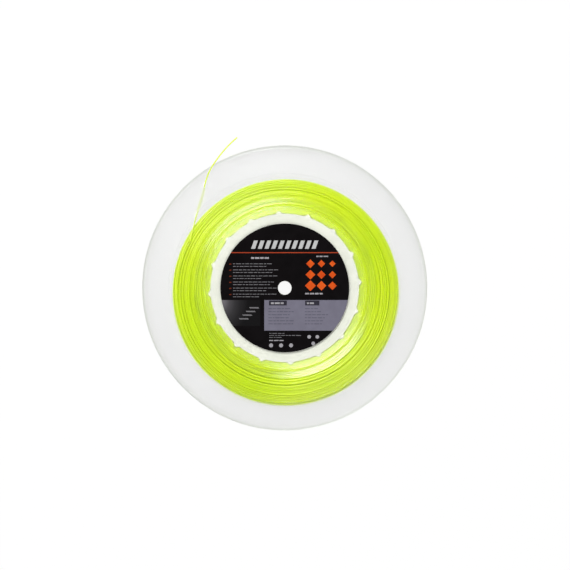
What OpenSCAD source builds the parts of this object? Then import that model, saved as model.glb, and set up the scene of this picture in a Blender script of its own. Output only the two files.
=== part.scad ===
// A reel of tennis string: two see-through flanges snapped together round a finned drum.
// The reel lies on its rear flange, its axis is +Z, and the label faces up.

/* [Flanges] */
// Outer diameter of each flange
flange_d = 280; // [256:1:320]
// Thickness of a flange's flat web
web_t = 1.6; // [1.2:0.1:2.4]
// Width of the thicker rim round each flange
rim_w = 2.6; // [1.6:0.1:5]
// How far the rim stands proud of the web's outer face
rim_h = 0.4; // [0.3:0.05:1]
// Radius that rounds the rim's two outer edges
rim_round = 0.7; // [0.2:0.1:0.9]
// Clear width between the flanges
gap = 16; // [13:0.5:24]
// Number of fine round ridges in each of the two bands on an outer face
ridge_count = 8; // [4:1:10]
// Width of one ridge
ridge_w = 0.82; // [0.6:0.02:1]
// Slope of a ridge's two sides
ridge_slope = 24; // [10:1:30]
// Space between the label's edge and the inner band of ridges
ridge_space = 10.7; // [8:0.1:14]
// Smooth space between the two bands
band_space = 2.2; // [1:0.1:6]

/* [Drum] */
// Diameter of the drum's wall, without its fins
drum_d = 146; // [140:1:160]
// Thickness of the drum's wall
drum_wall = 2; // [1.2:0.1:3]
// How far the drum's front web reaches inwards from its wall, under the front flange
drum_web_reach = 13; // [9:0.5:14]
// Thickness of that web
drum_web_t = 1.8; // [1.2:0.1:3]
// Number of fins round the drum
fin_count = 16; // [8:1:20]
// How far each fin stands out of the drum's wall
fin_h = 2.7; // [1.5:0.1:6]
// Width of a fin where it leaves the wall
fin_root_w = 7; // [3:0.1:9]
// Width of a fin's tip
fin_tip_w = 0.8; // [0.6:0.1:2]
// Angle of the first fin from +X
fin_start = 4.5; // [0:0.5:22]
// Height of the ring on each flange that centres the drum
seat_h = 4; // [1.5:0.1:6]
// Thickness of that ring, and of the ring that centres the sleeve
seat_wall = 1.4; // [1:0.1:2]

/* [Spindle sleeve] */
// Bore that turns on the stringing bench's spindle
bore_d = 13.5; // [10:0.1:16]
// Wall of the sleeve where it passes through a flange
sleeve_wall = 2.4; // [1.5:0.1:4]
// Step of the sleeve's shoulder, which keeps the flanges apart
shoulder = 2; // [1:0.1:4]
// Height of the ring on each flange that centres the sleeve's shoulder
sleeve_seat_h = 3; // [1:0.1:5]

/* [Snap posts] */
// Number of posts on each flange
post_count = 4; // [3:1:4]
// Radius of the circle that the posts' inner faces stand on
post_r = 48; // [36:0.5:48.5]
// Thickness of a post, along the radius
post_t = 2.4; // [1.6:0.1:3]
// Width of a post
post_w = 8; // [5:0.5:10]
// How far a post's barb hooks over the other flange's ledge
barb_out = 1.2; // [0.6:0.1:2]
// Thickness of a barb
barb_t = 1.5; // [1:0.1:2]
// Thickness of the pad behind each window, over the web's inner face
pad_h = 2.4; // [2:0.1:4]
// Thickness of the ledge that a barb hooks on
ledge_t = 1.8; // [1.2:0.1:2]
// Wall round each window
window_wall = 1.6; // [1:0.1:3]

/* [Ribs] */
// Number of stiffening ribs inside each flange
rib_count = 8; // [4:4:8]
// Width of a rib
rib_w = 1.2; // [0.8:0.1:2]
// Height of a rib
rib_h = 2.4; // [1:0.1:4]
// Space between the ribs' outer ends and the front flange's drum ring
rib_space = 3; // [2:0.5:12]

/* [Label] */
// Diameter of the label on the front flange
label_d = 126.4; // [115:1:135]
// Thickness of the label
label_t = 0.25; // [0.1:0.05:0.3]

/* [String] */
// Diameter of the string
string_d = 1.25; // [1.1:0.05:1.4]
// Diameter of the whole winding
winding_d = 224.6; // [190:0.1:236]
// How far the loose winding lies off the drum's axis, along X
winding_dx = 1; // [-3:0.1:3]
// How far it lies off the axis, along Y
winding_dy = -4.6; // [-6:0.1:6]
// How far in from its edge the winding starts to round off
shoulder_in = 14; // [6:0.5:18]
// How far the winding's edge drops away from each flange
shoulder_drop = 7; // [2:0.5:7]
// Number of rounded bundles of turns that make up each side of the winding
bundle_count = 3; // [2:1:4]
// Depth of the valleys between the bundles
bundle_drop = 1.7; // [0.6:0.1:2.4]
// Diameter of the knot at the string's inner end
knot_d = 3.8; // [3:0.1:5]
// Length of string left free behind that knot
knot_tail = 7; // [3:0.5:14]
// Width of the threading slot in the front flange
slot_w = 2.2; // [1.8:0.1:4]
// Length of the threading slot
slot_l = 6; // [5.5:0.1:9]

/* [Clearances] */
// Between the drum and the rings that centre it
seat_clear = 0.2; // [0.1:0.05:0.5]
// Between the sleeve and the flanges
sleeve_clear = 0.15; // [0.1:0.05:0.4]
// Between a snap post and its window
post_clear = 0.3; // [0.2:0.05:0.6]
// Between the winding and the plastic round it
string_clear = 0.3; // [0.2:0.05:0.6]
// Round the string in its hole through the drum
hole_clear = 0.3; // [0.2:0.05:0.6]

/* [Hidden] */
$fn = 96;

past = 1;                                 // cuts run this far past the faces they open
bite = 0.3;                               // how deep a moulded feature sinks into its web
flange_r = flange_d / 2;
rear_in = rim_h + web_t;                  // height of the rear flange's inner face
front_in = rear_in + gap;                 // height of the front flange's inner face
front_out = front_in + web_t;             // height of the front web's outer face
mid_z = rear_in + gap / 2;
drum_r = drum_d / 2;
drum_in_r = drum_r - drum_wall;
fin_tip_r = drum_r + fin_h;
fin_pitch = 360 / fin_count;
web_in_r = drum_in_r - drum_web_reach;
rear_seat_r = drum_in_r - seat_clear;     // the drum's open end sits round this ring
front_seat_r = web_in_r - seat_clear;     // its web sits round this smaller one
bore_r = bore_d / 2;
sleeve_end_r = bore_r + sleeve_wall;
shoulder_r = sleeve_end_r + shoulder;
sleeve_seat_r = shoulder_r + sleeve_clear;
rib_in_r = sleeve_seat_r + seat_wall - bite;
rib_out_r = front_seat_r - seat_wall - rib_space;
label_r = label_d / 2;
ridge_h = ridge_w / 2 * tan(ridge_slope);
inner_band_r = label_r + ridge_space;
outer_band_r = inner_band_r + ridge_count * ridge_w + band_space;
post_pitch = 360 / post_count;
post_angle = post_pitch / 4;              // posts and windows alternate, so both flanges are alike
barb_z = gap - pad_h + ledge_t;           // from a web's inner face to the other flange's ledge
window_in_r = post_r - barb_out - post_clear;
window_out_r = post_r + post_t + barb_out + post_clear;
window_w = post_w + 2 * post_clear;
winding_r = winding_d / 2;
winding_half_w = gap / 2 - string_clear;
drop = min(shoulder_drop, winding_half_w - string_d / 2);
bundle_w = (winding_r - drum_r) / bundle_count;
string_r = string_d / 2;
hole_angle = fin_start + 3.5 * fin_pitch; // midway between two fins
knot_r = knot_d / 2;

// The string's outer end, from the winding up through the slot and out past the rim
TAIL = [
    [-93, 46, 17.15], [-91.3, 54, 16.6], [-89.4, 63, 15], [-87.3, 72, 13],
    [-85.2, 80, 11.3], [-82.9, 87.5, 10.5], [-81, 93.5, 11.2], [-79.4, 98.5, 14.6],
    [-78.5, 101.5, 18.8], [-77.6, 104.4, 20.1], [-76.2, 108.5, 20.75], [-74.2, 113.5, 21],
    [-71.2, 119, 21.1], [-67, 125.2, 21.2], [-62.4, 131.3, 21.3], [-57.3, 137.2, 21.4],
    [-52, 142.6, 21.5], [-46.6, 147.4, 21.6]
];
tail_sides = 8;
tail_steps = 3;                           // rings for each stretch between two points
SLOT = TAIL[8];
SLOT_WAY = TAIL[9] - TAIL[7];
slot_angle = atan2(SLOT_WAY[1], SLOT_WAY[0]);

plastic = [0.93, 0.94, 0.93, 0.5];
drum_white = [0.95, 0.95, 0.92];
string_green = [0.78, 0.91, 0.15];

// A smooth point between b and c, with a and d the points before and after them
function between(a, b, c, d, t) =
    0.5 * (2 * b + (c - a) * t + (2 * a - 5 * b + 4 * c - d) * t * t
           + (3 * b - a - 3 * c + d) * t * t * t);
function last(list) = len(list) - 1;
function at(list, i) =
    i < 0 ? 2 * list[0] - list[1]
    : i > last(list) ? 2 * list[last(list)] - list[last(list) - 1]
    : list[i];
function smooth_route(list, steps) = [
    for (i = [0:last(list) - 1], k = [0:steps - 1])
        between(at(list, i - 1), at(list, i), at(list, i + 1), at(list, i + 2), k / steps),
    list[last(list)]
];
function way(route, i) =
    let (step = route[min(i + 1, last(route))] - route[max(i - 1, 0)]) step / norm(step);
function ring_at(point, along, r, sides) =
    let (flat = cross([0, 0, 1], along), side = flat / norm(flat), up = cross(along, side))
    [for (k = [0:sides - 1]) point + r * (cos(k * 360 / sides) * side + sin(k * 360 / sides) * up)];

// A round cord swept along a route, with a flat cap at each end
module cord(route, r, sides) {
    rings = len(route);
    points = [for (i = [0:rings - 1]) each ring_at(route[i], way(route, i), r, sides)];
    walls = [
        for (i = [0:rings - 2], k = [0:sides - 1])
            let (a = i * sides + k, b = i * sides + (k + 1) % sides)
            each [[a, a + sides, b + sides], [a, b + sides, b]]
    ];
    first_cap = [for (k = [0:sides - 1]) k];
    last_cap = [for (k = [sides - 1:-1:0]) (rings - 1) * sides + k];
    polyhedron(points = points, faces = concat([first_cap], walls, [last_cap]), convexity = 6);
}

// A plain tube standing on z = 0
module tube(outer_r, inner_r, h) {
    difference() {
        cylinder(r = outer_r, h = h);
        translate([0, 0, -past]) cylinder(r = inner_r, h = h + 2 * past);
    }
}

// A box from r_from to r_to along the radius, centred on the given angle
module radial_box(angle, r_from, r_to, width, z_from, z_to) {
    rotate(angle) translate([r_from, -width / 2, z_from]) cube([r_to - r_from, width, z_to - z_from]);
}

// The crests and valleys of a band of ridges, from its outer edge inwards
function band(from_r) = [
    for (k = [2 * ridge_count:-1:0])
        [from_r + k * ridge_w / 2, web_t + (k % 2) * ridge_h]
];

// Half of a flange's section, with the inner face at 0: the web, the rounded rim and the ridges
module flange_section() {
    rim_top = web_t + rim_h;
    round_r = flange_r - rim_round;
    low_round = [for (a = [-90:15:0]) [round_r + rim_round * cos(a), rim_round + rim_round * sin(a)]];
    top_round = [for (a = [0:15:90])
        [round_r + rim_round * cos(a), rim_top - rim_round + rim_round * sin(a)]];
    polygon(concat([[0, 0]], low_round, top_round,
                   [[flange_r - rim_w, rim_top], [flange_r - rim_w, web_t]],
                   band(outer_band_r), band(inner_band_r), [[0, web_t]]));
}

// One barbed post, which reaches through the other flange's window and hooks on its ledge
module snap_post(angle) {
    barb_from = barb_z + post_clear / 2;
    barb_to = barb_from + barb_t;
    radial_box(angle, post_r, post_r + post_t, post_w, -barb_to, bite);
    rotate(angle) translate([post_r, post_w / 2, 0]) rotate([90, 0, 0]) linear_extrude(post_w)
        polygon([[0, -barb_to], [post_t, -barb_to], [post_t + barb_out, -barb_from], [0, -barb_from]]);
}

module window_pad(angle) {
    radial_box(angle, window_in_r - window_wall, window_out_r + window_wall,
               window_w + 2 * window_wall, -pad_h, bite);
}

// The way through a pad for a post, with a wider pocket outside the ledge for its barb
module window_cut(angle) {
    radial_box(angle, window_in_r, post_r + post_t + post_clear, window_w, -pad_h - past, web_t + past);
    radial_box(angle, window_in_r, window_out_r, window_w, ledge_t - pad_h, web_t + past);
}

// A flange with its inner face on z = 0 and its outer face up, and with a ring that centres the drum
module flange(seat_r) {
    difference() {
        union() {
            rotate_extrude() flange_section();
            translate([0, 0, -seat_h]) tube(seat_r, seat_r - seat_wall, seat_h + bite);
            translate([0, 0, -sleeve_seat_h])
                tube(sleeve_seat_r + seat_wall, sleeve_seat_r, sleeve_seat_h + bite);
            for (k = [0:rib_count - 1])
                radial_box(k * 360 / rib_count, rib_in_r, rib_out_r, rib_w, -rib_h, bite);
            for (k = [0:post_count - 1]) {
                snap_post(post_angle + k * post_pitch);
                window_pad(-post_angle - k * post_pitch);
            }
        }
        for (k = [0:post_count - 1]) window_cut(-post_angle - k * post_pitch);
        translate([0, 0, -past]) cylinder(r = sleeve_end_r + sleeve_clear, h = web_t + 2 * past);
    }
}

module rear_flange() {
    color(plastic) translate([0, 0, rear_in]) rotate([180, 0, 0]) flange(rear_seat_r);
}

// The front flange has the slot that the string's outer end is threaded through
module front_flange() {
    half_way = (slot_l - slot_w) / 2;
    color(plastic) difference() {
        translate([0, 0, front_in]) flange(front_seat_r);
        translate([SLOT[0], SLOT[1], front_in - past]) rotate(slot_angle) {
            for (x = [-half_way, half_way])
                translate([x, 0, 0]) cylinder(d = slot_w, h = web_t + 2 * past);
            translate([-half_way, -slot_w / 2, 0]) cube([2 * half_way, slot_w, web_t + 2 * past]);
        }
    }
}

// One tapered fin's outline, grown by a clearance
module fin_outline(grow) {
    sink = drum_wall / 2;
    polygon([
        [drum_r - sink, -fin_root_w / 2 - grow], [drum_r, -fin_root_w / 2 - grow],
        [fin_tip_r + grow, -fin_tip_w / 2 - grow], [fin_tip_r + grow, fin_tip_w / 2 + grow],
        [drum_r, fin_root_w / 2 + grow], [drum_r - sink, fin_root_w / 2 + grow]
    ]);
}

module fins(grow, h) {
    for (k = [0:fin_count - 1])
        rotate(fin_start + k * fin_pitch) linear_extrude(h) fin_outline(grow);
}

// The white drum is a cup: a finned wall, open to the rear, with a flat web at its front end
module hub_drum() {
    color(drum_white) difference() {
        translate([0, 0, rear_in]) union() {
            cylinder(r = drum_r, h = gap);
            fins(0, gap);
        }
        translate([0, 0, rear_in - past]) cylinder(r = drum_in_r, h = gap - drum_web_t + past);
        translate([0, 0, rear_in]) cylinder(r = web_in_r, h = gap + past);
        rotate(hole_angle) translate([drum_in_r - past, 0, mid_z]) rotate([0, 90, 0])
            cylinder(r = string_r + hole_clear, h = drum_wall + 2 * past);
    }
}

module spindle_sleeve() {
    color(drum_white) difference() {
        union() {
            translate([0, 0, rim_h]) cylinder(r = sleeve_end_r, h = front_out - rim_h);
            translate([0, 0, rear_in]) cylinder(r = shoulder_r, h = gap);
        }
        translate([0, 0, rim_h - past]) cylinder(r = bore_r, h = front_out - rim_h + 2 * past);
    }
}

// The string's inner end: through the drum's wall, knotted inside it
module string_start() {
    knot_at = drum_in_r - knot_r;
    free_end = knot_at - knot_r - knot_tail;
    color(string_green) rotate(hole_angle) union() {
        translate([free_end, 0, mid_z]) rotate([0, 90, 0])
            cylinder(r = string_r, h = drum_r + string_clear / 2 - free_end);
        translate([knot_at, 0, mid_z]) sphere(r = knot_r);
    }
}

// Half of the winding's section: flat beside the flanges, rounded towards its edge
module winding_section() {
    flat_r = winding_r - shoulder_in;
    function edge(a) = [flat_r + shoulder_in * sin(a), winding_half_w - drop * (1 - cos(a))];
    polygon(concat([[0, -winding_half_w]], [for (a = [0:10:90]) [edge(a)[0], -edge(a)[1]]],
                   [for (a = [90:-10:0]) edge(a)], [[0, winding_half_w]]));
}

// The ring cut out of both sides between one bundle of turns and the next. The winding drifts off the
// axis as it grows, so each valley has its own centre.
module winding_valley(count_from_drum) {
    valley_r = drum_r + count_from_drum * bundle_w;
    drift = count_from_drum / bundle_count;
    floor_line = [for (k = [-3:3])
        [valley_r + k * bundle_w / 6, winding_half_w - bundle_drop * pow(1 - abs(k) / 3, 2)]];
    translate([drift * winding_dx, drift * winding_dy, mid_z])
        for (side = [0, 1]) mirror([0, 0, side]) rotate_extrude()
            polygon(concat(floor_line, [[valley_r + bundle_w / 2, winding_half_w + past],
                                        [valley_r - bundle_w / 2, winding_half_w + past]]));
}

module string_winding() {
    color(string_green) difference() {
        translate([winding_dx, winding_dy, mid_z]) rotate_extrude() winding_section();
        for (k = [1:bundle_count - 1]) winding_valley(k);
        translate([0, 0, rear_in]) cylinder(r = drum_r + string_clear, h = gap);
        translate([0, 0, rear_in]) fins(string_clear, gap);
    }
}

module string_tail() {
    color(string_green) cord(smooth_route(TAIL, tail_steps), string_r, tail_sides);
}

module front_label() {
    color([0.08, 0.07, 0.08]) translate([0, 0, front_out]) tube(label_r, bore_r, label_t);
}

rear_flange();
hub_drum();
spindle_sleeve();
string_start();
string_winding();
string_tail();
front_flange();
front_label();
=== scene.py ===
# %% [markdown]
# # A reel of racket string
# A reel of string is a thin spool: two clear, partly frosted plastic flanges, a finned drum between
# them, and 200 m of yellow-green monofilament. The CAD parts give every size and stay where they are.
# This script adds the string turn by turn, the label's print, the finishes, the light and the camera.
# All lengths are in metres, and Z is the reel's axis.

import bpy
import numpy as np
from mathutils import Matrix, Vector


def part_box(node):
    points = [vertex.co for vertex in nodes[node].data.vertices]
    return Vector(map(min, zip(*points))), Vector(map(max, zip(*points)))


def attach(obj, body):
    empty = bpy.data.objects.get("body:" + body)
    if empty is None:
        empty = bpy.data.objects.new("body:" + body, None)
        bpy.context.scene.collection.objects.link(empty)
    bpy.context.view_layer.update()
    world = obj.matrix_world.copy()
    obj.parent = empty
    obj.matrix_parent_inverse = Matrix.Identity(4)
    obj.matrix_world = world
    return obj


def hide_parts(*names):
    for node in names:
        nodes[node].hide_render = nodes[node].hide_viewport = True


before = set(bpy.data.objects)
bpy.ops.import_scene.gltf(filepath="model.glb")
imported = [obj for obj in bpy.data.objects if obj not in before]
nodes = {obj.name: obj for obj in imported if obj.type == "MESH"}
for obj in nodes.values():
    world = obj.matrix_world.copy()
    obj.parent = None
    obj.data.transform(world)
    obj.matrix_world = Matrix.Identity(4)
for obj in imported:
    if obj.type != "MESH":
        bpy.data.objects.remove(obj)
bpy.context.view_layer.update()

# %% [markdown]
# The levels and radii that matter are read off the CAD parts, so nothing here is measured twice. The
# label lies on the front flange's web, and the winding's own box says how far it hangs off the axis.

# %% Read the levels and radii from the CAD parts
MM = 0.001
drum_low, drum_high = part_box("hub_drum")
label_low, label_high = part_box("front_label")
winding_low, winding_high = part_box("string_winding")
TOP_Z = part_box("front_flange")[1].z
DRUM_Z = (drum_low.z + drum_high.z) / 2
FIN_TIP_R = (drum_high.y - drum_low.y) / 2
LABEL_R = (label_high.x - label_low.x) / 2
LABEL_Z = label_high.z
WINDING_R = (winding_high.x - winding_low.x) / 2
WINDING_HALF_W = (winding_high.z - winding_low.z) / 2
OFF_X = (winding_high.x + winding_low.x) / 2
OFF_Y = (winding_high.y + winding_low.y) / 2
print(f"winding radius {WINDING_R / MM:.1f} mm, off the axis by {OFF_Y / MM:.1f} mm")

# %% [markdown]
# The camera looks straight down at a point a little above and to the right of the axis. A 50 mm lens
# at this distance makes the rear flange look a little smaller than the front one, which is what shows
# that the flanges stand apart. A Track To constraint could turn it, but a matrix built from the three
# directions of the view also settles which way is up, and it serves the lamps too.


# %% Camera
def aim(thing, target, back, distance, up):
    """Stands the thing off its target along back, facing it, with its upper side towards up."""
    back = np.asarray(back, float) / np.linalg.norm(back)
    right = np.cross(up, back)
    right /= np.linalg.norm(right)
    place = np.asarray(target) + distance * back
    rows = np.column_stack([right, np.cross(back, right), back, place])
    thing.matrix_world = Matrix([*rows.tolist(), [0, 0, 0, 1]])
    bpy.context.scene.collection.objects.link(thing)


CAMERA_DISTANCE = 0.777
VIEW_CENTRE = [0.26 * MM, 2.88 * MM, TOP_Z]
camera = bpy.data.objects.new("camera", bpy.data.cameras.new("camera"))
camera.data.lens = 50
camera.data.sensor_width = 36
aim(camera, VIEW_CENTRE, [0, 0, 1], CAMERA_DISTANCE, up=[0, 1, 0])
bpy.context.scene.camera = camera
print("camera at", [round(v, 3) for v in camera.location])

# %% [markdown]
# Every stretch of string is the same thing: a circle carried along a path. A curve object with a round
# bevel could make it too, but the wound string has about 61,000 points. The tube is a grid, with one
# row of points for each point of the path, so numpy works out all of them at once.


# %% Helpers: a mesh from arrays, and the grid of a tube
def make_piece(name, points, faces, smooth=True):
    """A mesh object from an (n, 3) array of points and a list or array of faces."""
    mesh = bpy.data.meshes.new(name)
    mesh.from_pydata(points.tolist(), [], [list(map(int, f)) for f in faces])
    mesh.polygons.foreach_set("use_smooth", np.full(len(mesh.polygons), smooth))
    mesh.update()
    piece = bpy.data.objects.new(name, mesh)
    bpy.context.scene.collection.objects.link(piece)
    return piece


def tube_grid(path, radius, sides):
    """Each path point plus radius times cos(a) outwards and sin(a) upwards, square to the path."""
    along = np.gradient(path, axis=0)
    along /= np.linalg.norm(along, axis=1, keepdims=True)
    outwards = np.cross(along, [0.0, 0.0, 1.0])
    outwards /= np.linalg.norm(outwards, axis=1, keepdims=True)
    upwards = np.cross(outwards, along)
    a = np.linspace(0, 2 * np.pi, sides, endpoint=False)
    ring = np.cos(a)[:, None] * outwards[:, None, :] + np.sin(a)[:, None] * upwards[:, None, :]
    return path[:, None, :] + radius * ring


# %% [markdown]
# A mesh of this size is filled with foreach_set, which takes whole arrays. Quads join each ring of
# points to the next, and one face closes each end. The UV map runs along the string by its length, so
# that a finish can follow it.


# %% Helper: a closed tube along a path
def tube(name, path, radius, sides, lap):
    """A closed tube along the path, with a UV map: u runs along it in metres over lap, v round it."""
    points = tube_grid(path, radius, sides)
    rings = len(path)
    i, k = np.meshgrid(np.arange(rings - 1), np.arange(sides), indexing="ij")
    a = i * sides + k
    b = i * sides + (k + 1) % sides
    quads = np.stack([a, b, b + sides, a + sides], axis=-1).reshape(-1, 4)
    mesh = bpy.data.meshes.new(name)
    caps = [np.arange(sides)[::-1], np.arange(sides) + (rings - 1) * sides]
    corners = np.concatenate([quads.ravel(), *caps])
    starts = np.concatenate([np.arange(len(quads)) * 4, len(quads) * 4 + np.array([0, sides])])
    mesh.vertices.add(rings * sides)
    mesh.vertices.foreach_set("co", points.ravel())
    mesh.loops.add(len(corners))
    mesh.loops.foreach_set("vertex_index", corners)
    mesh.polygons.add(len(starts))
    mesh.polygons.foreach_set("loop_start", starts)
    mesh.update(calc_edges=True)
    mesh.polygons.foreach_set("use_smooth", np.ones(len(starts), bool))
    run = np.concatenate([[0], np.cumsum(np.linalg.norm(np.diff(path, axis=0), axis=1))]) / lap
    u = run[corners // sides]
    v = (corners % sides) / sides
    uv = mesh.uv_layers.new(name="string_uv")
    uv.data.foreach_set("uv", np.stack([u, v], axis=-1).ravel())
    piece = bpy.data.objects.new(name, mesh)
    bpy.context.scene.collection.objects.link(piece)
    print(f"{name}: {rings} rings, {run[-1] * lap:.2f} m, {2 * len(quads) + 2 * sides - 4} triangles")
    return piece


# %% [markdown]
# The string's outer end leaves the winding, dips between the flanges, comes up through a slot near the
# front flange's edge and reaches 35 mm past the rim. It is a stiff monofilament of 1.25 mm, so an end
# as short as that doesn't sag. The points are the CAD route's own, and a smooth curve through them is
# the string's centre line.

# %% The string's free end
STRING_R = 0.625 * MM
UV_LAP = 0.1
TAIL_SIDES, TAIL_STEPS = 16, 8
TAIL = MM * np.array([
    [-93, 46, 17.15], [-91.3, 54, 16.6], [-89.4, 63, 15], [-87.3, 72, 13],
    [-85.2, 80, 11.3], [-82.9, 87.5, 10.5], [-81, 93.5, 11.2], [-79.4, 98.5, 14.6],
    [-78.5, 101.5, 18.8], [-77.6, 104.4, 20.1], [-76.2, 108.5, 20.75], [-74.2, 113.5, 21],
    [-71.2, 119, 21.1], [-67, 125.2, 21.2], [-62.4, 131.3, 21.3], [-57.3, 137.2, 21.4],
    [-52, 142.6, 21.5], [-46.6, 147.4, 21.6],
])


def smooth_route(points, steps):
    """A Catmull-Rom curve: a cubic between each two points, level with its neighbours at both."""
    ends = [2 * points[0] - points[1], *points, 2 * points[-1] - points[-2]]
    a, b, c, d = (np.array(ends[i : len(points) - 1 + i])[:, None, :] for i in range(4))
    t = np.linspace(0, 1, steps, endpoint=False)[None, :, None]
    cubic = 2 * b + (c - a) * t + (2 * a - 5 * b + 4 * c - d) * t**2
    cubic = 0.5 * (cubic + (3 * b - a - 3 * c + d) * t**3)
    return np.concatenate([cubic.reshape(-1, 3), points[-1:]])


tail_path = smooth_route(TAIL, TAIL_STEPS)
string_tail = tube("string_tail_round", tail_path, STRING_R, TAIL_SIDES, UV_LAP)
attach(string_tail, "root")
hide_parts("string_tail")

# %% [markdown]
# The winding is the whole string, not a ring with stripes. A winding machine lays it from side to
# side: about thirteen turns across, then a step outwards, for 32 layers. A ring with a striped bump
# would be lighter, but it has no loose turns or crossings, and they are what makes it look wound. The
# layers lie in three broad bundles, with a shallow valley between each two.

# %% The width of the winding
DRUM_R = 73.05 * MM
SHOULDER_IN, SHOULDER_DROP = 14 * MM, 7 * MM
BUNDLES, BUNDLE_DROP = 3, 1.7 * MM
BUNDLE_W = (WINDING_R - DRUM_R) / BUNDLES


def half_width(r):
    """Half of the winding's width at radius r: three broad bundles, and a rounded outer edge.

    The valley between two bundles is deepest where (r - DRUM_R) / BUNDLE_W is a whole number n, and
    rises to both sides as BUNDLE_DROP times (1 - 2 |that - n|) squared. The edge is a quarter ellipse.
    """
    past = np.clip((r - (WINDING_R - SHOULDER_IN)) / SHOULDER_IN, 0, 1)
    edge = SHOULDER_DROP * (1 - np.sqrt(1 - past**2))
    count = (r - DRUM_R) / BUNDLE_W
    nearest = np.clip(np.round(count), 1, BUNDLES - 1)
    valley = BUNDLE_DROP * np.clip(1 - 2 * np.abs(count - nearest), 0, 1) ** 2
    return WINDING_HALF_W - np.maximum(edge, valley)


print(f"winding {2 * half_width(DRUM_R) / MM:.1f} mm wide at the drum")

# %% [markdown]
# The layers are a little closer together than the string is thick, because turns sink into the gaps
# between those below. Their own gaps differ at random, and each layer has as many turns as its width
# holds. The counts are then scaled so that the string ends at the angle where its free end starts.

# %% Layers and turns
START_ANGLE = np.radians(83.25)
END_ANGLE = np.arctan2(TAIL[0][1], TAIL[0][0])
LAYER_STEP, LAYER_UNEVEN = 1.18 * MM, 0.15
TURN_STEP = 1.3 * MM
LEAST_HALF_W = 0.4 * STRING_R
WHOLE_TURNS = 346
rng = np.random.default_rng(7)
first_r, last_r = DRUM_R + STRING_R, WINDING_R - STRING_R
layer_count = int((last_r - first_r) / LAYER_STEP)
gaps = 1 + LAYER_UNEVEN * rng.standard_normal(layer_count - 1)
layer_r = first_r + (last_r - first_r) * np.concatenate([[0], np.cumsum(gaps)]) / gaps.sum()
layer_w = np.maximum(half_width(layer_r) - STRING_R, LEAST_HALF_W)
turns = 2 * layer_w / TURN_STEP
turns[0] /= 2
total_turns = WHOLE_TURNS + ((START_ANGLE - END_ANGLE) / (2 * np.pi)) % 1
turns *= total_turns / turns.sum()
layer_end = np.cumsum(turns)
print(f"{layer_count} layers, {total_turns:.2f} turns, {turns.max():.1f} turns in a full layer")

# %% [markdown]
# Each point of the path has three numbers: the angle, the radius and the place across the reel. The
# last two are lines through a few knots, read with np.interp: the string crosses to the other side,
# then stays there while it climbs to the next layer. A moving average rounds the corners, and a slow
# random wave keeps the turns from lying too evenly.


# %% Helpers: round the corners of a path, and let it wander
POINTS_PER_TURN = 176
turn = np.linspace(0, total_turns, int(total_turns * POINTS_PER_TURN))


def rounded(values, reach):
    """A moving average over reach turns, with the first and last values held."""
    n = int(reach * POINTS_PER_TURN) // 2 * 2 + 1
    return np.convolve(np.pad(values, n // 2, mode="edge"), np.full(n, 1 / n), mode="valid")


def wander(rate_low=0.2, rate_high=1.7, count=9):
    """A slow random wave along the string: a sum of sines, scaled to an even size."""
    rates = rng.uniform(rate_low, rate_high, count)
    shifts = rng.uniform(0, 2 * np.pi, count)
    return np.sin(2 * np.pi * rates[:, None] * turn + shifts[:, None]).sum(axis=0) / np.sqrt(count / 2)


print(f"{len(turn)} points along the wound string")

# %% [markdown]
# The first layers lie on the drum's fins and bulge over each of them. The bulge fades from layer to
# layer, while the wandering grows.

# %% The path's radius and its place across the reel
STEP_OUT = 0.4
FIN_COUNT, FIN_START = 16, np.radians(4.5)
FIN_GAP, FIN_NARROW, FIN_LAYERS = 0.1 * MM, 8, 3
WANDER_OUT, WANDER_ACROSS = 0.06 * MM, 0.07 * MM
side = np.where(np.arange(layer_count) % 2 == 0, 1.0, -1.0)
knots = np.concatenate([[0.0], np.stack([layer_end - STEP_OUT, layer_end], axis=1).ravel()])
across = np.concatenate([[0.0], np.stack([layer_w * side, layer_w * side], axis=1).ravel()])
outer_r = np.append(layer_r[1:], layer_r[-1])
radii = np.concatenate([[layer_r[0]], np.stack([layer_r, outer_r], axis=1).ravel()])
depth = np.interp(turn, layer_end, np.arange(layer_count))
angle = START_ANGLE - 2 * np.pi * turn
z = rounded(np.interp(turn, knots, across), 0.25)
r = rounded(np.interp(turn, knots, radii), 0.3)
fin = (0.5 + 0.5 * np.cos(FIN_COUNT * (angle - FIN_START))) ** FIN_NARROW
r = r + (FIN_TIP_R + FIN_GAP - DRUM_R) * fin * np.exp(-depth / FIN_LAYERS)
r = r + WANDER_OUT * wander() * np.minimum(depth, FIN_LAYERS) / FIN_LAYERS
z = z + WANDER_ACROSS * wander()
print(f"radius from {r.min() / MM:.1f} to {r.max() / MM:.1f} mm")

# %% [markdown]
# The last half turn climbs over the winding's rounded shoulder, so that it meets the free end where
# that starts, beside the front flange. The turns lie close to the drum at the top and hang away from
# it at the bottom, as loose turns do, so each layer's centre moves off the axis as its radius grows.

# %% Lead the last half turn to the free end, and place the path in the reel
LEAD = 0.5
lead = np.clip((turn - total_turns + LEAD) / LEAD, 0, 1)
lead = lead * lead * (3 - 2 * lead)
end_r = np.hypot(TAIL[0][0] - OFF_X, TAIL[0][1] - OFF_Y)
r = r + lead * (end_r - r)
limit = half_width(r) - STRING_R
z = np.where(lead > 0, z * (1 - lead) + lead * (TAIL[0][2] - DRUM_Z), np.clip(z, -limit, limit))
sag = np.clip((r - first_r) / (last_r - first_r), 0, 1)
wound = np.stack([
    r * np.cos(angle) + OFF_X * sag, r * np.sin(angle) + OFF_Y * sag, z + DRUM_Z,
], axis=1)
wound[-1] = TAIL[0]
print("string wound on:", round(np.linalg.norm(np.diff(wound, axis=0), axis=1).sum(), 1), "m")

# %% [markdown]
# A tube with six sides is round enough here, because smooth shading hides its edges. As one mesh the
# wound string would still be too heavy to be kept whole, so it is cut into five stretches, end to end.

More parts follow.
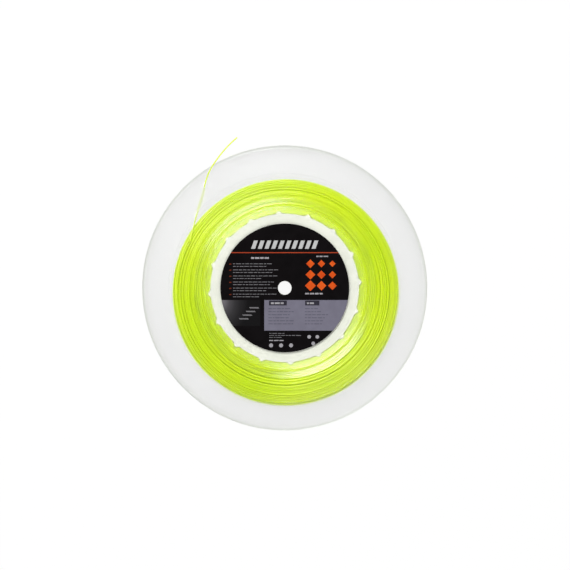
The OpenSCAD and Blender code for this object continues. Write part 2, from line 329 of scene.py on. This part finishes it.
# %% Cut the wound string into stretches and make their tubes
WOUND_PIECES, WOUND_SIDES = 5, 6
cuts = np.linspace(0, len(wound) - 1, WOUND_PIECES + 1).astype(int)
string_turns = [
    tube(f"string_turns_{n + 1}", wound[cuts[n] : cuts[n + 1] + 1], STRING_R, WOUND_SIDES, UV_LAP)
    for n in range(WOUND_PIECES)
]
for piece in string_turns:
    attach(piece, "root")
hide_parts("string_winding")

# %% [markdown]
# The label is a black film with a printed face. An image could carry the print, but it would blur when
# seen close. Here the print is thin raised ink: flat slabs and plates a few hundredths of a millimetre
# thick, laid out one by one in millimetres from the axis. Small type is shown as plain dashes, and the
# large mark and the picture as plain stripes and diamonds, because the part carries no words.


# %% Helper: a slab over a grid
def slab(name, grid_x, grid_y, low, high):
    """A closed flat slab: the grid's top and bottom faces, joined round the grid's edge."""
    rows, cols = grid_x.shape
    flat = np.stack([grid_x.ravel(), grid_y.ravel()], axis=1)
    points = np.concatenate([
        np.column_stack([flat, np.full(len(flat), high)]),
        np.column_stack([flat, np.full(len(flat), low)]),
    ])
    i, k = np.meshgrid(np.arange(rows - 1), np.arange(cols - 1), indexing="ij")
    a = (i * cols + k).ravel()
    top = np.stack([a, a + 1, a + 1 + cols, a + cols], axis=1)
    bottom = top[:, ::-1] + rows * cols
    index = np.arange(rows * cols).reshape(rows, cols)
    edge = np.concatenate([index[0], index[1:, -1], index[-1, -2::-1], index[-2:0:-1, 0]])
    after = np.roll(edge, -1)
    wall = np.stack([after, edge, edge + rows * cols, after + rows * cols], axis=1)
    return make_piece(name, points, np.concatenate([top, bottom, wall]), smooth=False)


# %% [markdown]
# The print has hundreds of small plates. One mesh holds all the plates of a kind, and each of them has
# only as many faces as its outline needs.


# %% Helpers: many small plates in one mesh
def plates(name, outlines, low, high):
    """Many small flat plates in one mesh, each from its outline, an (n, 2) array run anticlockwise."""
    count, corners = outlines.shape[:2]
    levels = np.array([low, high])
    points = np.concatenate([
        np.broadcast_to(outlines[:, None] * MM, (count, 2, corners, 2)),
        np.broadcast_to(levels[None, :, None, None], (count, 2, corners, 1)),
    ], axis=-1).reshape(-1, 3)
    k = np.arange(corners)
    after = (k + 1) % corners
    sides = np.stack([k, after, after + corners, k + corners], axis=1)
    faces = []
    for start in 2 * corners * np.arange(count):
        faces += [start + k[::-1], start + corners + k, *(start + sides)]
    return make_piece(name, points, faces, smooth=False)


def bars(name, boxes, low, high, lean=0.0):
    """Bars as plates. Each box is x, y of its centre, its width and its height."""
    x, y, width, height = np.asarray(boxes, float).T[:, :, None]
    sx, sy = np.array([-0.5, 0.5, 0.5, -0.5]), np.array([-0.5, -0.5, 0.5, 0.5])
    outlines = np.stack([x + width * sx + lean * height * sy, y + height * sy], axis=-1)
    return plates(name, outlines, low, high)


def rounds(name, spots, corners, low, high):
    """Even-sided plates. Each spot is x, y of its centre and its radius."""
    x, y, radius = np.asarray(spots, float).T[:, :, None]
    a = 2 * np.pi * np.arange(corners) / corners
    return plates(name, np.stack([x + radius * np.cos(a), y + radius * np.sin(a)], axis=-1), low, high)


# %% [markdown]
# The ink lies in up to three coats. Areas that reach the label's round edge stop just short of it, and
# their ends follow it: each row of the slab's grid runs from one end of a chord to the other.

# %% The rule, the picture and the panel of the label
INK = 0.02 * MM
FIRST, SECOND, THIRD = ((LABEL_Z + n * INK, LABEL_Z + (n + 1) * INK) for n in range(3))
PRINT_R = LABEL_R - 0.15 * MM
GRID_ROWS, GRID_COLS = 33, 25


def clipped_panel(name, y_low, y_high, left, right):
    """A slab between two heights, from left to right, where None means the label's own round edge."""
    y = np.linspace(y_low, y_high, GRID_ROWS)[:, None] * MM
    chord = np.sqrt(PRINT_R**2 - y**2)
    x_left = -chord if left is None else left * MM
    x_right = chord if right is None else right * MM
    s = np.linspace(0, 1, GRID_COLS)[None, :]
    grid_x = x_left + (x_right - x_left) * s
    return slab(name, grid_x, np.broadcast_to(y, grid_x.shape), *FIRST)


label_rule = clipped_panel("label_rule", 34.2, 35.1, None, None)
label_picture = clipped_panel("label_picture", -37.3, -11.9, None, -24.0)
label_panel = clipped_panel("label_panel", -41.9, -11.9, -20.1, None)
print(f"label of {2 * LABEL_R / MM:.1f} mm, with ink {INK / MM:.2f} mm thick")

# %% [markdown]
# Type this small is seen as rows of words, not as letters. So each row is a run of dashes of random
# length, and rows of a few heights and colours make the headings and paragraphs.


# %% Small type, shown as rows of dashes
WORD_SHORT, WORD_LONG, WORD_GAP, WORDS = 1.6, 5.2, 0.8, 24


def type_rows(x_left, y_top, pitch, lengths, height):
    """Boxes for rows of dashes: words of random length, from the left edge until the row is full."""
    boxes = []
    for row, length in enumerate(lengths):
        words = rng.uniform(WORD_SHORT, WORD_LONG, WORDS)
        starts = np.concatenate([[0], np.cumsum(words + WORD_GAP)[:-1]])
        y = y_top - row * pitch
        keep = starts + words < length
        boxes += [(x_left + s + w / 2, y, w, height) for s, w in zip(starts[keep], words[keep])]
    return boxes


small_rows = type_rows(-50.7, 23.7, 5.96, [43, 45, 44, 42, 45, 46], 0.62)
small_rows += type_rows(-50.7, 21.13, 5.96, [34, 42, 29, 37, 33, 27], 0.62)
small_rows += type_rows(-15.2, -44.6, 2.0, [16, 33, 13], 0.6)
label_small_type = bars("label_small_type", small_rows, *FIRST)
large_rows = type_rows(-33.0, 29.4, 2.0, [18], 1.7) + type_rows(-15.2, -51.6, 2.0, [16], 1.0)
large_rows += type_rows(20.0, -5.6, 2.0, [19], 1.5) + type_rows(31.0, 31.0, 2.0, [12], 1.2)
label_large_type = bars("label_large_type", large_rows, *FIRST)
panel_rows = type_rows(-16.0, -20.3, 2.99, [24, 26, 22, 23, 25, 27], 0.8)
panel_rows += type_rows(19.8, -20.3, 2.99, [16, 18, 23, 22, 20, 19], 0.8)
label_panel_type = bars("label_panel_type", panel_rows, *SECOND)
chips = [(-6.7, -14.8, 17.5, 4.8), (27.0, -14.8, 14.0, 4.8)]
label_chips = bars("label_chips", chips, *SECOND)
chip_rows = type_rows(-13.6, -15.0, 2.0, [14], 1.7) + type_rows(21.8, -15.0, 2.0, [11], 1.7)
label_chip_type = bars("label_chip_type", chip_rows, *THIRD)
print(len(small_rows) + len(panel_rows), "dashes of small type")

# %% [markdown]
# The rest of the print is plain shapes: a row of slanted stripes at the top, nine diamonds that shrink
# towards one corner, slanted bars over the picture, a bullet at each paragraph and a few dots.

# %% Bullets, the stripes, the picture's bars, the diamonds and the dots
bullets = [(-53.4, 23.4 - 5.96 * k, 2.0, 1.0) for k in range(6)]
label_bullets = bars("label_bullets", bullets, *FIRST, lean=0.4)
stripes = [(-29.7 + 6.6 * k, 42.5, 3.9, 8.1) for k in range(10)]
label_stripes = bars("label_stripes", stripes, *FIRST, lean=0.35)
streaks = [(-30.0 - 3.4 * k, -19.5 - 3.6 * k, 9.0, 1.3) for k in range(4)]
label_streaks = bars("label_streaks", streaks, *SECOND, lean=-0.8)
DIAMOND_X, DIAMOND_Y, DIAMOND_PITCH = 36.0, 13.0, 10.8
diamonds = [
    (DIAMOND_X + DIAMOND_PITCH * i, DIAMOND_Y + DIAMOND_PITCH * k, 4.2 - 0.55 * (i + k))
    for i in range(-1, 2) for k in range(-1, 2)
]
label_diamonds = rounds("label_diamonds", diamonds, 4, *FIRST)
dots = [(-13.4 + 9.8 * k, -56.4, 2.0) for k in range(3)]
dots += [(24, -48, 1.8), (32, -48, 1.8), (28, -54.5, 1.8)]
label_dots = rounds("label_dots", dots, 14, *FIRST)
label_print = [
    label_rule, label_picture, label_panel, label_small_type, label_large_type, label_panel_type,
    label_chips, label_chip_type, label_bullets, label_stripes, label_streaks, label_diamonds,
    label_dots,
]
for piece in label_print:
    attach(piece, "root")
print(len(label_print), "printed pieces")

# %% [markdown]
# Now the finishes. A material is a tree of nodes, and two small helpers keep the trees short to write:
# one adds a node with its place and values, the other gives a node group its named sockets.


# %% Helpers for node trees
def add(tree, kind, x, y, **values):
    """Adds a node at x, y and sets its properties, and its inputs by their number, as in1=2."""
    node = tree.nodes.new(kind)
    node.location = (x, y)
    for key, value in values.items():
        if key.startswith("in") and key[2:].isdigit():
            node.inputs[int(key[2:])].default_value = value
        else:
            setattr(node, key, value)
    return node


def sockets(tree, inputs, outputs):
    """Adds number sockets to a node group, the inputs with a default value, and a Vector input."""
    for name, value in inputs.items():
        socket = tree.interface.new_socket(name=name, in_out="INPUT", socket_type="NodeSocketFloat")
        socket.default_value = value
    tree.interface.new_socket(name="Vector", in_out="INPUT", socket_type="NodeSocketVector")
    for name in outputs:
        tree.interface.new_socket(name=name, in_out="OUTPUT", socket_type="NodeSocketFloat")


# %% [markdown]
# No moulded or printed face is quite even: it has a fine grain, and its gloss changes slowly from place
# to place. The flanges, the drum and every ink show both, so the effect is a node group, built once and
# placed in each material with its own values. It gives a roughness, a height for a bump and a mottle
# for the colour.

# %% Node group: moulded grain
grain_group = bpy.data.node_groups.new("moulded_grain", "ShaderNodeTree")
grain_inputs = {"Grain size": 900.0, "Wave size": 14.0, "Rough low": 0.1, "Rough high": 0.2}
sockets(grain_group, grain_inputs, ["Roughness", "Height", "Mottle"])
entry = add(grain_group, "NodeGroupInput", -800, 0)
leave = add(grain_group, "NodeGroupOutput", 600, 0)
fine = add(grain_group, "ShaderNodeTexNoise", -500, 150, in3=2.0, in4=0.6)
slow = add(grain_group, "ShaderNodeTexNoise", -500, -150, in3=3.0, in4=0.5)
to_rough = add(grain_group, "ShaderNodeMapRange", 200, 200)
fine_part = add(grain_group, "ShaderNodeMath", -200, 0, operation="MULTIPLY", in1=0.08)
height = add(grain_group, "ShaderNodeMath", 0, -50, operation="ADD")
link = grain_group.links.new
link(entry.outputs["Vector"], fine.inputs["Vector"])
link(entry.outputs["Vector"], slow.inputs["Vector"])
link(entry.outputs["Grain size"], fine.inputs["Scale"])
link(entry.outputs["Wave size"], slow.inputs["Scale"])
link(slow.outputs[0], to_rough.inputs["Value"])
link(entry.outputs["Rough low"], to_rough.inputs["To Min"])
link(entry.outputs["Rough high"], to_rough.inputs["To Max"])
link(fine.outputs[0], fine_part.inputs[0])
link(fine_part.outputs[0], height.inputs[0])
link(slow.outputs[0], height.inputs[1])
link(to_rough.outputs[0], leave.inputs["Roughness"])
link(height.outputs[0], leave.inputs["Height"])
link(slow.outputs[0], leave.inputs["Mottle"])
print("group:", grain_group.name)

# %% [markdown]
# Every material starts the same way, with a Principled shader and nothing else. The grain is placed in
# it on Object coordinates, which measure the piece itself, so it has one scale on every piece.


# %% Helpers: a material with its Principled shader, and the grain placed in it
def new_material(name):
    """A material with an empty tree but for the output and a Principled shader."""
    material = bpy.data.materials.new(name)
    material.use_nodes = True
    tree = material.node_tree
    tree.nodes.clear()
    out = add(tree, "ShaderNodeOutputMaterial", 900, 0)
    shader = add(tree, "ShaderNodeBsdfPrincipled", 500, 0)
    tree.links.new(shader.outputs[0], out.inputs[0])
    print("material:", name)
    return material, tree, shader, out


def dress(piece, material):
    """Gives the piece this one material."""
    piece.data.materials.clear()
    piece.data.materials.append(material)


def grained(tree, shader, strength, distance, **values):
    """Places the moulded grain in a material: its roughness, and a bump from its height."""
    group = add(tree, "ShaderNodeGroup", -200, -100, node_tree=grain_group)
    for key, value in values.items():
        group.inputs[key.replace("_", " ")].default_value = value
    where = add(tree, "ShaderNodeTexCoord", -500, -100)
    bump = add(tree, "ShaderNodeBump", 200, -300, in0=strength, in1=distance)
    tree.links.new(where.outputs["Object"], group.inputs["Vector"])
    tree.links.new(group.outputs["Roughness"], shader.inputs["Roughness"])
    tree.links.new(group.outputs["Height"], bump.inputs["Height"])
    tree.links.new(bump.outputs[0], shader.inputs["Normal"])
    return group


# %% [markdown]
# Two more things repeat. A colour ramp turns a measure, such as the distance from the axis, into a
# level or a colour. And the glass and the floor below it answer some kinds of rays in their own way.


# %% Helpers: colour ramps, and kinds of rays
def fill_ramp(ramp, colours):
    """Gives a colour ramp its stops, from a dictionary of places and (red, green, blue)."""
    stops = ramp.color_ramp.elements
    for n, (place, colour) in enumerate(colours.items()):
        stop = stops[n] if n < 2 else stops.new(place)
        stop.position = place
        stop.color = (*colour, 1)


def shades(levels, tint=(1, 1, 1)):
    """The colours for a ramp of one tint: at each place, the tint times the level there."""
    return {place: tuple(level * part for part in tint) for place, level in levels.items()}


def ray_mask(tree, rays, first, *others):
    """1 for rays of these kinds and 0 for all others: the largest of the Light Path's marks."""
    mask = rays.outputs[f"Is {first} Ray"]
    for n, kind in enumerate(others):
        either = add(tree, "ShaderNodeMath", 200 + 200 * n, 600, operation="MAXIMUM")
        tree.links.new(mask, either.inputs[0])
        tree.links.new(rays.outputs[f"Is {kind} Ray"], either.inputs[1])
        mask = either.outputs[0]
    return mask


# %% [markdown]
# The flanges are natural plastic, clear over the winding and frosted over the drum's edge and outside
# the winding. A darker line is painted into the colour at the rim: painted shade for the dark edge
# that shows where one looks through the rim's whole height. So both the roughness and the tone, with
# its painted rim shade, are ramps over the distance from the axis. The shader is glass with a rough
# face. Glass stops lamp light unless its caustics are traced, so for shadow rays and diffuse rays a
# plain see-through shader stands in, and the string behind the flange stays lit.

# %% Frosted see-through flange plastic
FROST = {0.066: 0.27, 0.074: 0.27, 0.081: 0.08, 0.092: 0.03, 0.104: 0.04, 0.117: 0.21}
# The stops from 0.1390 out paint the darker rim line: painted shade for the rim's dark edge.
TINT_AND_RIM_SHADE = {
    0.107: (0.985, 0.99, 0.985), 0.117: (0.970, 0.970, 0.970), 0.1384: (0.970, 0.970, 0.970),
    0.1390: (0.80, 0.81, 0.75), 0.1397: (0.60, 0.63, 0.56),
}
flange_plastic, tree, shader, out = new_material("flange_plastic")
grain = grained(tree, shader, 0.25, 0.0004, Rough_low=0.06, Rough_high=0.16)
where = add(tree, "ShaderNodeTexCoord", -700, 300)
flatten = add(tree, "ShaderNodeVectorMath", -500, 300, operation="MULTIPLY")
flatten.inputs[1].default_value = (1.0, 1.0, 0.0)
from_axis = add(tree, "ShaderNodeVectorMath", -350, 300, operation="LENGTH")
frost = add(tree, "ShaderNodeValToRGB", -150, 300)
fill_ramp(frost, shades(FROST))
tone_and_rim_shade = add(tree, "ShaderNodeValToRGB", -150, 900)
fill_ramp(tone_and_rim_shade, TINT_AND_RIM_SHADE)
rough = add(tree, "ShaderNodeMath", 100, 200, operation="ADD")
rays = add(tree, "ShaderNodeLightPath", 0, 600)
clear = add(tree, "ShaderNodeBsdfTransparent", 500, 250, in0=(0.99, 0.995, 0.99, 1))
mix = add(tree, "ShaderNodeMixShader", 750, 100)
shader.inputs["IOR"].default_value = 1.59
shader.inputs["Transmission Weight"].default_value = 1.0
tree.links.new(where.outputs["Object"], flatten.inputs[0])
tree.links.new(flatten.outputs[0], from_axis.inputs[0])
tree.links.new(from_axis.outputs["Value"], frost.inputs[0])
tree.links.new(from_axis.outputs["Value"], tone_and_rim_shade.inputs[0])
tree.links.new(frost.outputs[0], rough.inputs[0])
tree.links.new(grain.outputs["Roughness"], rough.inputs[1])
tree.links.new(rough.outputs[0], shader.inputs["Roughness"])
tree.links.new(tone_and_rim_shade.outputs[0], shader.inputs["Base Color"])
tree.links.new(ray_mask(tree, rays, "Shadow", "Diffuse"), mix.inputs[0])
tree.links.new(shader.outputs[0], mix.inputs[1])
tree.links.new(clear.outputs[0], mix.inputs[2])
tree.links.new(mix.outputs[0], out.inputs[0])
dress(nodes["front_flange"], flange_plastic)
dress(nodes["rear_flange"], flange_plastic)

# %% [markdown]
# The drum and the sleeve are plain white plastic, a little yellow. Only the drum's front web shows,
# through the frosted flange, so a soft gloss and the grain are enough.

# %% White drum and sleeve plastic
drum_plastic, tree, shader, out = new_material("drum_plastic")
grained(tree, shader, 0.2, 0.0003, Rough_low=0.3, Rough_high=0.5)
shader.inputs["Base Color"].default_value = (0.88, 0.89, 0.785, 1)
dress(nodes["hub_drum"], drum_plastic)
dress(nodes["spindle_sleeve"], drum_plastic)

# %% [markdown]
# Monofilament is drawn through a die, which leaves fine lines along it. A noise texture on the tube's
# own UV map, with more detail round the string than along it, gives them to the gloss and the bump. The
# colour wanders slowly between two yellow-greens, on Object coordinates, so that it doesn't repeat from
# turn to turn.

# %% Yellow-green monofilament
string_gloss, tree, shader, out = new_material("string_gloss")
shader.inputs["IOR"].default_value = 1.58
shader.inputs["Transmission Weight"].default_value = 0.08
where = add(tree, "ShaderNodeTexCoord", -900, 0)
stretch = add(tree, "ShaderNodeMapping", -700, 0)
stretch.inputs["Scale"].default_value = (2.0, 24.0, 1.0)
lines = add(tree, "ShaderNodeTexNoise", -450, -150, in2=3.0, in3=3.0, in4=0.6)
tint = add(tree, "ShaderNodeTexNoise", -450, 150, in2=9.0, in3=2.0, in4=0.5)
ramp = add(tree, "ShaderNodeValToRGB", -150, 150)
fill_ramp(ramp, {0.3: (0.70, 0.92, 0.002), 0.7: (0.81, 0.98, 0.005)})
rough = add(tree, "ShaderNodeMapRange", 0, -100)
rough.inputs["To Min"].default_value = 0.2
rough.inputs["To Max"].default_value = 0.32
bump = add(tree, "ShaderNodeBump", 200, -300, in0=0.15, in1=0.0002)
tree.links.new(where.outputs["UV"], stretch.inputs["Vector"])
tree.links.new(stretch.outputs[0], lines.inputs["Vector"])
tree.links.new(where.outputs["Object"], tint.inputs["Vector"])
tree.links.new(tint.outputs[0], ramp.inputs[0])
tree.links.new(ramp.outputs[0], shader.inputs["Base Color"])
tree.links.new(lines.outputs[0], rough.inputs["Value"])
tree.links.new(rough.outputs[0], shader.inputs["Roughness"])
tree.links.new(lines.outputs[0], bump.inputs["Height"])
tree.links.new(bump.outputs[0], shader.inputs["Normal"])
for piece in [*string_turns, string_tail, nodes["string_start"]]:
    dress(piece, string_gloss)

# %% [markdown]
# The label's film and its inks are satin, and none is one flat colour: ink lies unevenly, so each is
# mottled between two close shades of the same colour.


# %% Label film and inks
INK_GRAIN = {"Rough_low": 0.12, "Rough_high": 0.18, "Grain_size": 2500.0}
MOTTLE_SIZE = 120.0


def ink(name, low, high):
    """A satin print colour, mottled between two shades."""
    material, tree, shader, out = new_material(name)
    group = grained(tree, shader, 0.1, 0.0001, **INK_GRAIN, Wave_size=MOTTLE_SIZE)
    ramp = add(tree, "ShaderNodeValToRGB", 150, 250)
    fill_ramp(ramp, {0.35: low, 0.65: high})
    tree.links.new(group.outputs["Mottle"], ramp.inputs[0])
    tree.links.new(ramp.outputs[0], shader.inputs["Base Color"])
    return material


label_film = ink("label_film", (0.0030, 0.0022, 0.0026), (0.0042, 0.0032, 0.0037))
ink_red = ink("ink_red", (0.36, 0.045, 0.016), (0.40, 0.055, 0.020))
ink_rust = ink("ink_rust", (0.13, 0.022, 0.008), (0.16, 0.028, 0.010))
ink_dim = ink("ink_dim", (0.15, 0.145, 0.155), (0.18, 0.175, 0.185))
ink_light = ink("ink_light", (0.30, 0.29, 0.31), (0.36, 0.35, 0.37))
ink_white = ink("ink_white", (0.47, 0.47, 0.47), (0.51, 0.51, 0.51))
ink_lavender = ink("ink_lavender", (0.158, 0.151, 0.196), (0.174, 0.167, 0.216))
ink_slate = ink("ink_slate", (0.095, 0.090, 0.120), (0.110, 0.105, 0.140))
ink_dark = ink("ink_dark", (0.026, 0.024, 0.034), (0.032, 0.030, 0.042))
ink_orange = ink("ink_orange", (0.56, 0.060, 0.008), (0.72, 0.11, 0.014))
for piece, material in [
    (nodes["front_label"], label_film), (label_rule, ink_red), (label_panel, ink_lavender),
    (label_small_type, ink_dim), (label_large_type, ink_light), (label_panel_type, ink_slate),
    (label_chips, ink_dark), (label_chip_type, ink_light), (label_bullets, ink_rust),
    (label_stripes, ink_white), (label_streaks, ink_dim), (label_diamonds, ink_orange),
    (label_dots, ink_light),
]:
    dress(piece, material)

# %% [markdown]
# The picture on the label is a soft grey glow that fades to black. A Mapping node moves the pattern to
# the glow's middle and widens it to an oval, and a ramp over the distance from there gives the fade.

# %% The picture's ink
FADES = {0.0: 0.17, 0.15: 0.12, 0.3: 0.066, 0.5: 0.034, 0.7: 0.019, 1.0: 0.007}
GLOW_REACH = 0.026
ink_picture, tree, shader, out = new_material("ink_picture")
grained(tree, shader, 0.1, 0.0001, **INK_GRAIN)
where = add(tree, "ShaderNodeTexCoord", -500, 400)
oval = add(tree, "ShaderNodeMapping", -300, 400)
oval.inputs["Location"].default_value = (0.062, 0.009, 0)
oval.inputs["Scale"].default_value = (1.0, 0.7, 0)
reach = add(tree, "ShaderNodeVectorMath", -100, 400, operation="LENGTH")
part = add(tree, "ShaderNodeMapRange", 50, 400)
part.inputs["From Max"].default_value = GLOW_REACH
ramp = add(tree, "ShaderNodeValToRGB", 250, 400)
fill_ramp(ramp, shades(FADES, tint=(1, 0.95, 1.02)))
tree.links.new(where.outputs["Object"], oval.inputs["Vector"])
tree.links.new(oval.outputs[0], reach.inputs[0])
tree.links.new(reach.outputs["Value"], part.inputs["Value"])
tree.links.new(part.outputs[0], ramp.inputs[0])
tree.links.new(ramp.outputs[0], shader.inputs["Base Color"])
dress(label_picture, ink_picture)

# %% [markdown]
# The floor is a plain white sheet. Stronger lamps would make it white but bleach the reel, so most of
# its white is light of its own, which only camera, transmission and glossy rays see. Its own colour is
# a dark grey for them, just enough to carry the reel's soft shadow, and pale for diffuse rays, so that
# it throws light back up into the reel as a white sheet does.

# %% Floor
FLOOR_HALF = 3.0
FLOOR_GREY, FLOOR_BOUNCE, FLOOR_GLOW = 0.07, 0.65, 0.92
floor_corners = FLOOR_HALF * np.array([[-1, -1, 0], [1, -1, 0], [1, 1, 0], [-1, 1, 0]])
floor = make_piece("floor", floor_corners, [[0, 1, 2, 3]], smooth=False)
floor_white, tree, shader, out = new_material("floor_white")
shader.inputs["Roughness"].default_value = 0.8
shader.inputs["Specular IOR Level"].default_value = 0.1
rays = add(tree, "ShaderNodeLightPath", 0, 600)
sheet = add(
    tree, "ShaderNodeMath", 300, 100, operation="MULTIPLY_ADD", in1=FLOOR_BOUNCE, in2=FLOOR_GREY
)
lift = add(tree, "ShaderNodeMath", 420, 350, operation="MULTIPLY", in1=FLOOR_GLOW)
glow = add(tree, "ShaderNodeEmission", 500, 300)
both = add(tree, "ShaderNodeAddShader", 750, 100)
tree.links.new(rays.outputs["Is Diffuse Ray"], sheet.inputs[0])
tree.links.new(sheet.outputs[0], shader.inputs["Base Color"])
tree.links.new(ray_mask(tree, rays, "Camera", "Transmission", "Glossy"), lift.inputs[0])
tree.links.new(lift.outputs[0], glow.inputs["Strength"])
tree.links.new(shader.outputs[0], both.inputs[0])
tree.links.new(glow.outputs[0], both.inputs[1])
tree.links.new(both.outputs[0], out.inputs[0])
dress(floor, floor_white)

# %% [markdown]
# Two long, narrow soft boxes stand on opposite sides of the reel, and the one at its upper left is far
# stronger than the other. They are what the round ridges on the flange and the round strands catch, as
# two pale arcs on opposite sides of the axis. Their height matters most, because only from there do the
# sides of the ridges, at 24 degrees to the web, mirror them to the camera.


# %% Lamps
BOX_DISTANCE, BOX_LONG, BOX_NARROW = 3.5, 3.0, 0.5
BOX_POLAR = 42.5
KEY_AZIMUTH, KEY_WATTS, BACK_WATTS = 119, 100, 38


def soft_box(name, azimuth, polar, watts):
    """An area lamp at an azimuth from +X and a polar angle from +Z, facing the reel."""
    a, p = np.radians([azimuth, polar])
    lamp = bpy.data.objects.new(name, bpy.data.lights.new(name, "AREA"))
    lamp.data.shape = "RECTANGLE"
    lamp.data.size, lamp.data.size_y, lamp.data.energy = BOX_LONG, BOX_NARROW, watts
    away = [np.cos(a) * np.sin(p), np.sin(a) * np.sin(p), np.cos(p)]
    aim(lamp, [0, 0, 0], away, BOX_DISTANCE, up=[0, 0, 1])
    print(f"lamp {name}: {watts} W at {azimuth} degrees")


soft_box("key", KEY_AZIMUTH, BOX_POLAR, KEY_WATTS)
soft_box("key_back", KEY_AZIMUTH + 180, BOX_POLAR, BACK_WATTS)

# %% [markdown]
# The room fills the shadows evenly from all round. It is white at the horizon and dim overhead, where
# the clear flange would mirror it and turn pale. The ramp runs over the height of each direction, which
# is 0 at the horizon and 1 straight up.

# %% World
ROOM_LEVELS = {0.0: 1.0, 0.42: 1.0, 0.56: 0.35, 0.62: 0.26, 0.85: 0.17, 1.0: 0.055}
world = bpy.data.worlds.new("studio")
bpy.context.scene.world = world
world.use_nodes = True
tree = world.node_tree
tree.nodes.clear()
out = add(tree, "ShaderNodeOutputWorld", 900, 0)
room = add(tree, "ShaderNodeBackground", 500, 0, in1=1.0)
way = add(tree, "ShaderNodeTexCoord", -500, 0)
split = add(tree, "ShaderNodeSeparateXYZ", -300, 0)
fade = add(tree, "ShaderNodeValToRGB", 0, 0)
fill_ramp(fade, shades(ROOM_LEVELS))
tree.links.new(way.outputs["Generated"], split.inputs[0])
tree.links.new(split.outputs["Z"], fade.inputs[0])
tree.links.new(fade.outputs[0], room.inputs[0])
tree.links.new(room.outputs[0], out.inputs[0])
bpy.context.scene.view_settings.view_transform = "Standard"
print("world:", world.name)
